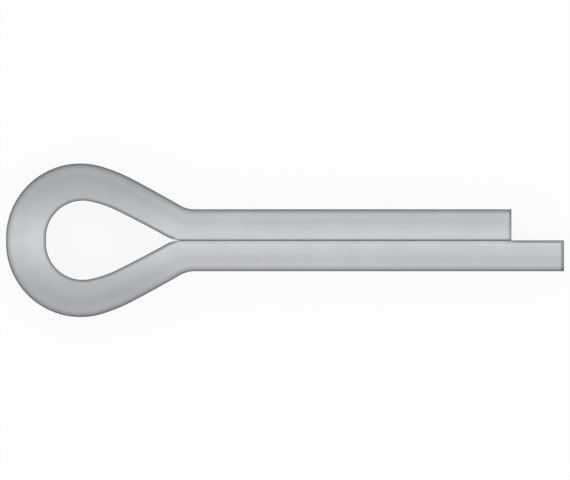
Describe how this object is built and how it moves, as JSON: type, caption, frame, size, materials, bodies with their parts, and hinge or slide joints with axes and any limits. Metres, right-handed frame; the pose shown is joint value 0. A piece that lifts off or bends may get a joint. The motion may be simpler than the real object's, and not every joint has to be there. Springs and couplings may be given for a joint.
{
  "type": "split cotter pin",
  "caption": "Split cotter pin bent from half-round wire, with a teardrop eye and closed legs of unequal length, to lock a nut or a clevis pin.",
  "frame": {"origin": "on the axis of the shank, at the end of the neck, where the legs close into a full round", "axes": "+X along the legs, away from the eye; +Y in the plane of the eye, towards the short leg's side; +Z square to that plane, up as the pin lies at rest"},
  "size_m": [0.0414, 0.0114, 0.0046],
  "materials": {
    "plated_steel": "satin"
  },
  "bodies": {
    "root": {"cotter_pin": "plated_steel"}
  },
  "joints": []
}
